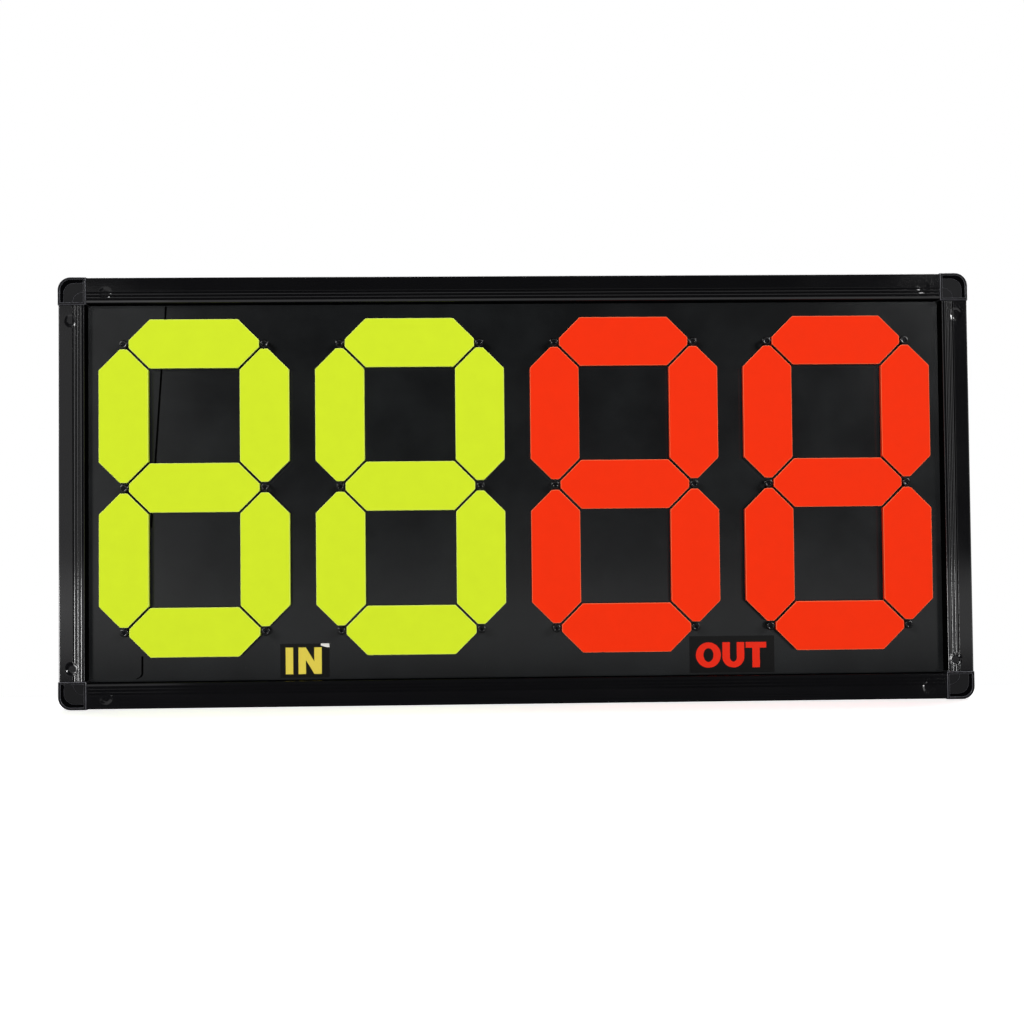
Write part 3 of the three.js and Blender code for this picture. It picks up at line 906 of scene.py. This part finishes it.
def make_floor():
    """A wide pale floor: white, with the board's shadow near its foot."""
    build = bmesh.new()
    bmesh.ops.create_grid(build, x_segments=1, y_segments=1, size=FLOOR_REACH)
    floor = new_object("floor", build)
    material, tree, place = new_material("white_floor")
    floor.data.materials.append(material)
    seen, by_gloss = seen_directly(tree)
    back = add_node(tree, "SeparateXYZ", (place,), "Y")
    # Lit paper before and under the board takes its shadow, and a glow makes up the white.
    away = add_node(tree, "VectorMath", (place,), "Value", operation="LENGTH")
    ahead = add_node(tree, "MapRange", (back, *PAPER_BACK_EDGE, 1.0, 0.0))
    close = add_node(tree, "MapRange", (away, *PAPER_REACH, PAPER_SHARE, 0.0))
    near = add_node(tree, "Math", (ahead, close), operation="MULTIPLY")
    rest = add_node(tree, "Math", (near, -PAPER_LEVEL, 1.0), operation="MULTIPLY_ADD")
    grey = add_node(tree, "CombineColor", (near, near, near))
    paper = add_node(tree, "BsdfDiffuse", (grey,))
    glow = add_node(tree, "Emission", {"Strength": rest})
    shown = add_node(tree, "AddShader", (paper, glow))
    # Gloss sees white behind the board and a floor before it that darkens towards the board.
    mirrored = (back, *FRONT_FLOOR, FRONT_FLOOR_LEVEL, ROOM_LEVEL)
    mirrored = add_node(tree, "MapRange", mirrored)
    behind = add_node(tree, "Math", (back, 0.0), operation="GREATER_THAN")
    level = add_node(tree, "Math", (mirrored, behind), operation="MAXIMUM")
    reflected = add_node(tree, "Emission", {"Strength": level})
    dull = add_node(tree, "BsdfDiffuse", (shaded(DULL_FLOOR),))
    gloss = add_node(tree, "MixShader", (by_gloss, dull, reflected))
    surface = add_node(tree, "MixShader", (seen, gloss, shown))
    add_node(tree, "OutputMaterial", {"Surface": surface})
    return floor


def make_world(scene):
    """White behind the board, and a dim room on the camera's side for what the board reflects."""
    world = bpy.data.worlds.new("studio")
    world.use_nodes = True
    tree = world.node_tree
    tree.nodes.clear()
    scene.world = world
    direct, by_gloss = seen_directly(tree)
    direction = add_node(tree, "TexCoord")
    split = add_node(tree, "SeparateXYZ", (direction,), "Y")
    behind = add_node(tree, "MapRange", (split, 0.0, ROOM_EDGE, 0.0, 1.0))
    mirrored = add_node(tree, "Math", (by_gloss, behind), operation="MULTIPLY")
    seen = add_node(tree, "Math", (direct, mirrored), operation="MAXIMUM")
    white, room = (
        add_node(tree, "Background", (shaded(WHITE), level))
        for level in (1.0, ROOM_LEVEL)
    )
    mixed = add_node(tree, "MixShader", (seen, room, white))
    add_node(tree, "OutputWorld", {"Surface": mixed})


class BOARD_OT_stage(Operator):
    """The pale floor, the studio light and the camera"""

    bl_idname = "board.stage"
    bl_label = "Stage"

    def execute(self, context):
        scene = context.scene
        scene.view_settings.view_transform = "Standard"
        floor = make_floor()
        make_world(scene)
        add_camera(scene)
        # Of the board only the sheets throw a shadow from the keys, so the sunk front sheet is lit
        # evenly up to its edges. The floor is listed too, or else it would hide the low strips.
        casters = bpy.data.collections.new("casters")
        for piece in (floor, frame["nodes"]["front_sheet"], frame["nodes"]["rear_sheet"]):
            casters.objects.link(piece)
        for name, yaw, power in KEYS:
            place = MIDDLE - heading(yaw, -KEY_RISE) * KEY_DISTANCE
            key = add_lamp(name, place, MIDDLE, KEY_SIZE, power)
            key.light_linking.blocker_collection = casters
        for lamp in LAMPS:
            add_lamp(*lamp)
        # The strips draw the lines along the ribs, brighter at their lower ends. They light the
        # rails alone, and the floor doesn't hide them.
        for name, place, height, power in STRIPS:
            aim = (place[0] / 3, 0, STRIP_AIM)
            strip = add_lamp(name, place, aim, (STRIP_WIDTH, height), power)
            strip.light_linking.receiver_collection = trim_collection()
            strip.light_linking.blocker_collection = trim_collection()
        return {"FINISHED"}


# Properties, panel and registration


def length(name, description, millimetres):
    return FloatProperty(
        name=name,
        description=description,
        default=millimetres * MM,
        min=0.0,
        unit="LENGTH",
        precision=5,
    )


def colour(name, description, value):
    return FloatVectorProperty(
        name=name,
        description=description,
        default=from_hex(value),
        size=3,
        min=0.0,
        max=1.0,
        subtype="COLOR",
    )


class BoardSizes(PropertyGroup):
    """Sizes of the board's visible pieces"""

    fit: length("Fit", "Gap between pieces that seat in each other", 0.3)
    rail_face: length("Rail face", "Width of a rail seen from the front", 21.0)
    rail_outer_radius: length("Rail outer radius", "Rounding of a rail's outer edges", 1.1)
    rail_lip_radius: length("Rail lip radius", "Rounding of the lip beside the digits", 0.8)
    lip_fall: length("Lip fall", "How far the lip slopes back towards the digits", 0.4)
    rib_width: length("Rib width", "Land between two grooves", 1.4)
    rib_rounding: length("Rib rounding", "Rounding of the ribs' edges", 0.62)
    groove_width: length("Groove width", "Width of a groove in a rail's face", 1.3)
    groove_depth: length("Groove depth", "Depth of a groove in a rail's face", 0.9)
    groove_rounding: length("Groove rounding", "Rounding of a groove's floor", 0.2)
    lip_width: length("Lip width", "From the last groove to the edge beside the digits", 2.9)
    dent_radius: length("Dent radius", "Reach of a staking dent", 5.8)
    dent_floor: length("Dent floor", "Half the width of a dent's flat floor", 2.9)
    cap_size: length("Cap size", "Side of a corner cap", 22.8)
    cap_radius: length("Cap radius", "Rounding of a cap's outer corner", 10.5)
    cap_proud: length("Cap proud", "How far a cap stands past the rails", 0.5)
    cap_bevel: length("Cap bevel", "Rounding of a cap's edges", 0.7)
    cap_rim: length("Cap rim", "Width of the rim round a cap's field", 2.1)
    rim_rounding: length("Rim rounding", "Rounding of the rim's inner edge", 0.45)
    cap_recess: length("Cap recess", "Depth of the groove round a cap's field", 1.5)
    cap_plate_height: length("Cap plate height", "From the groove up to the lower step", 0.95)
    cap_step_height: length("Cap step height", "From the lower to the upper step", 0.35)
    cap_step_large: length("Large step", "Side of the lower step of a cap's field", 16.0)
    cap_step_corner: length("Large step corner", "Rounding of the lower step's corner", 8.8)
    cap_step_small: length("Small step", "Side and rounding of the upper step", 8.4)
    step_rounding: length("Step rounding", "Rounding of the steps' edges", 0.3)
    sheet_recess: length("Sheet recess", "From the rails' front to the front sheet", 15.0)
    sheet_thickness: length("Sheet thickness", "Thickness of the front sheet", 3.0)
    sheet_engage: length("Sheet engage", "How far a sheet reaches into the rails", 7.0)
    segment_width: length("Segment width", "Width of a slat", 40.4)
    segment_thickness: length("Segment thickness", "Thickness of a slat", 7.6)
    segment_bevel: length("Segment bevel", "Rounding of a slat's edges", 0.5)
    slat_corner: length("Slat corner", "Rounding of a slat's corners, seen from the front", 0.7)
    slat_front: length("Slat front", "Thickness of a slat's fluorescent layer", 4.6)
    mitre_gap: length("Mitre gap", "Gap between two neighbours' mitred ends", 1.8)
    tip_distance: length("Tip distance", "From a pivot to the slat's tip", 4.3)
    pin_radius: length("Pin radius", "Radius of a slat's pins", 0.9)
    pin_length: length("Pin length", "How far a pin stands past the slat's tip", 2.3)
    post_radius: length("Post radius", "Radius of a pivot post", 3.36)
    post_height: length("Post height", "Height of a pivot post over the sheet", 10.68)
    post_rounding: length("Post rounding", "Rounding of a post's head", 0.55)
    recess_radius: length("Recess radius", "Radius of the recess in a post's head", 1.75)
    recess_depth: length("Recess depth", "Depth of the recess in a post's head", 0.9)
    recess_rounding: length("Recess rounding", "Rounding of the recess's rim", 0.2)
    screw_gap: length("Screw gap", "Gap round the screw in its recess", 0.3)
    screw_rise: length("Screw rise", "How far the screw stands over the recess's floor", 0.35)
    seam_width: length("Seam width", "Width of the joint in the sheet's film", 1.65)
    seam_rise: length("Seam rise", "How far the joint stands over the sheet", 0.05)
    letter_film: length("Letter film", "Thickness of the letters' film", 0.08)
    in_letter_height: length("In letter height", "Height of the letters of IN", 21.9)
    in_letter_width: length("In letter width", "Width of the N", 19.1)
    in_stem: length("In stem", "Width of the stems of IN", 6.1)
    in_gap: length("In gap", "Space between the letters of IN", 4.4)
    in_margin: length("In margin", "From the sticker's left edge to IN", 4.4)
    in_foot: length("In foot", "From the sticker's lower edge to IN", 3.0)
    out_letter_height: length("Out letter height", "Height of the letters of OUT", 21.0)
    out_letter_width: length("Out letter width", "Width of the O", 20.8)
    out_u_width: length("U width", "Width of the U", 18.2)
    out_u_bowl: length("U bowl", "Height of the U's round foot", 8.6)
    out_t_width: length("T width", "Width of the T", 17.1)
    out_stem: length("Out stem", "Width of the stems of OUT", 6.2)
    out_bar: length("Out bar", "Thickness of the bars and bowls of OUT", 4.8)
    out_gap: length("Out gap", "Space between the letters of OUT", 1.3)
    out_margin: length("Out margin", "From the sticker's left edge to OUT", 5.4)
    out_foot: length("Out foot", "From the sticker's lower edge to OUT", 4.2)
    sticker_film: length("Sticker film", "Thickness of the stickers' film", 0.2)


class BoardColours(PropertyGroup):
    """Colours of the board's finishes"""

    frame: colour("Frame", "Coated aluminium rails", 0x060607)
    corner: colour("Corners", "Moulded corner caps", 0x0E0E10)
    # Painted highlight on the caps' raised edges
    rubbed: colour("Rubbed edges", "Raised edges of the corner caps", 0x58585E)
    # Painted shade for the rails' inner walls
    channel: colour("Channel", "Rails' inner walls", 0x020202)
    # Also painted into the caps' grooves as shade
    post: colour("Posts", "Pivot posts, pins and the grooves of the caps", 0x050506)
    screw: colour("Screws", "Screws in the posts' heads", 0x1C1C1F)
    sheet: colour("Sheet", "Front sheet", 0x121314)
    sheet_dust: colour("Sheet dust", "Front sheet where dust lies", 0x1E2021)
    rear_sheet: colour("Rear sheet", "Plain sheet behind the digits", 0x151517)
    seam: colour("Seam", "Joint in the sheet's film", 0x030303)
    yellow: colour("Yellow", "Slats of the player coming on", 0xD7ED2B)
    red: colour("Red", "Slats of the player going off", 0xF8320D)
    # Lighter colours painted on the slats' rounded edges as a highlight
    yellow_edge: colour("Yellow edge", "Glowing edge of the yellow slats", 0xE6FA70)
    red_edge: colour("Red edge", "Glowing edge of the red slats", 0xFF7048)
    slat_back: colour("Slat back", "Back of every slat", 0x121213)
    sticker: colour("Sticker", "Stickers' ground", 0x060606)
    letters_in: colour("Letters in", "Letters under the yellow digits", 0xE6D250)
    letters_out: colour("Letters out", "Letters under the red digits", 0xEB280F)
    backing: colour("Backing", "Torn corner of a sticker", 0xE8E6E0)


OPERATORS = (
    BOARD_OT_stage,
    BOARD_OT_frame_rails,
    BOARD_OT_corner_caps,
    BOARD_OT_sheets,
    BOARD_OT_pivot_posts,
    BOARD_OT_digits,
    BOARD_OT_stickers,
)


class BOARD_PT_make(Panel):
    """Makes the board's pieces one by one"""

    bl_idname = "BOARD_PT_make"
    bl_label = "Substitution Board"
    bl_space_type = "VIEW_3D"
    bl_region_type = "UI"
    bl_category = "Board"

    def draw(self, context):
        for operator in OPERATORS:
            self.layout.operator(operator.bl_idname)
        for group in panel_values(context):
            box = self.layout.box()
            for name in group.bl_rna.properties.keys():
                if name not in ("rna_type", "name"):
                    box.prop(group, name)


CLASSES = (BoardSizes, BoardColours, *OPERATORS, BOARD_PT_make)


def register():
    for item in CLASSES:
        bpy.utils.register_class(item)
    bpy.types.Scene.board_sizes = PointerProperty(type=BoardSizes)
    bpy.types.Scene.board_colours = PointerProperty(type=BoardColours)


def unregister():
    del bpy.types.Scene.board_colours
    del bpy.types.Scene.board_sizes
    for item in reversed(CLASSES):
        bpy.utils.unregister_class(item)


def main():
    register()
    for operator in OPERATORS:
        group, name = operator.bl_idname.split(".")
        getattr(getattr(bpy.ops, group), name)()


if __name__ == "__main__":
    main()
